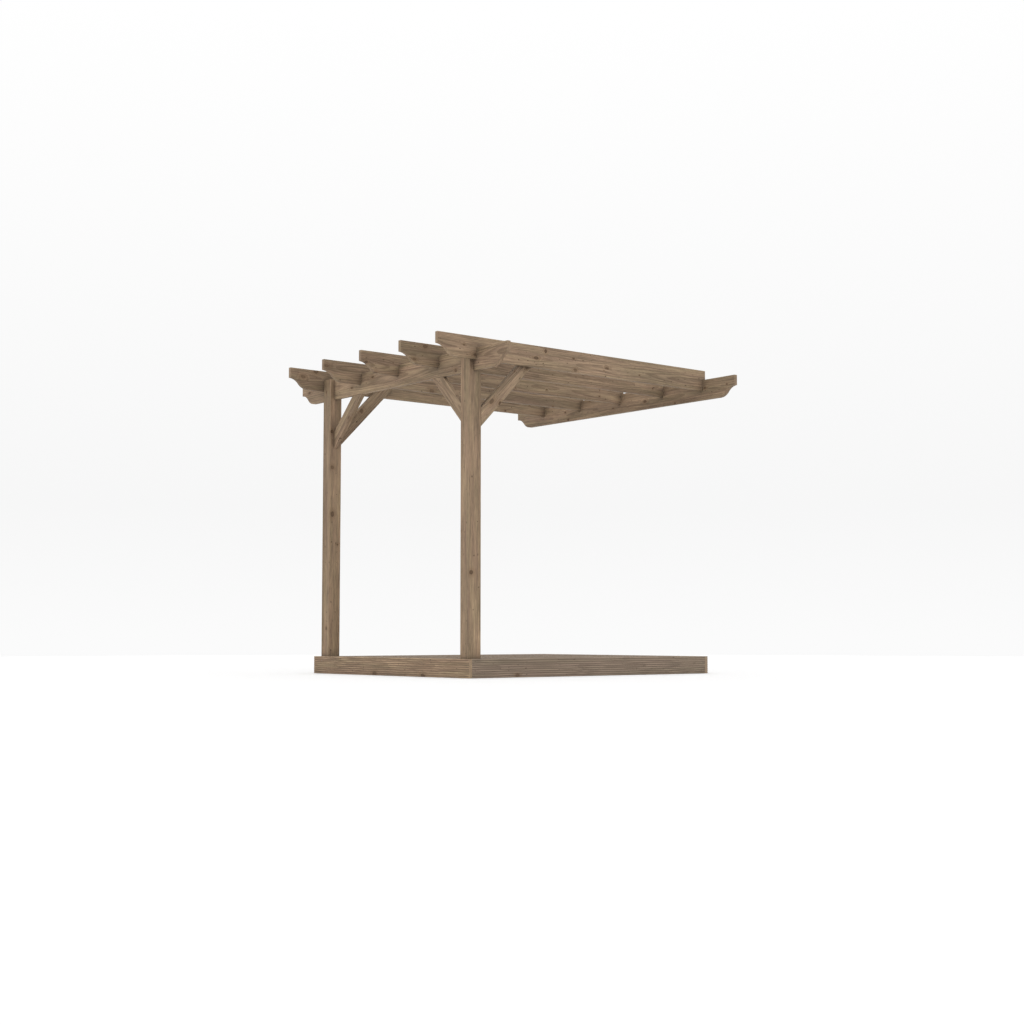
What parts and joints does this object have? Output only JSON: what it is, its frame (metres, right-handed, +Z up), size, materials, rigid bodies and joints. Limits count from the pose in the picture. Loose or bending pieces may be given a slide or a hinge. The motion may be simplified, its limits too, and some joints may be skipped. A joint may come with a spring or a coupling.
{
  "type": "lean-to wooden pergola on a deck",
  "caption": "Open lean-to garden pergola: slotted, braced posts on a low reeded deck carry a front beam and shaped rafters that run back to a wall plate.",
  "frame": {"origin": "on the ground under the middle of the roof: centre of the bounding box's bottom", "axes": "+Z up, +X to the right along the front beam, +Y from the posts towards the wall plate"},
  "size_m": [2.4, 2.4, 2.169],
  "materials": {
    "timber": "weathered brown stain, satin",
    "decking": "weathered brown stain, reeded"
  },
  "bodies": {
    "root": {"rafter_1": "timber", "rafter_2": "timber", "rafter_3": "timber", "rafter_4": "timber", "rafter_5": "timber", "front_beam": "timber", "wall_plate": "timber", "right_post": "timber", "left_post": "timber", "right_beam_brace": "timber", "left_beam_brace": "timber", "right_rafter_brace": "timber", "left_rafter_brace": "timber", "front_fascia": "decking", "wall_fascia": "decking", "right_fascia": "decking", "left_fascia": "decking", "joist_1": "timber", "joist_2": "timber", "joist_3": "timber", "joist_4": "timber", "joist_5": "timber", "joist_6": "timber", "deck_board_1": "decking", "deck_board_2": "decking", "deck_board_3": "decking", "deck_board_4": "decking", "deck_board_5": "decking", "deck_board_6": "decking", "deck_board_7": "decking", "deck_board_8": "decking", "deck_board_9": "decking", "deck_board_10": "decking", "deck_board_11": "decking", "deck_board_12": "decking", "deck_board_13": "decking", "deck_board_14": "decking"}
  },
  "joints": []
}
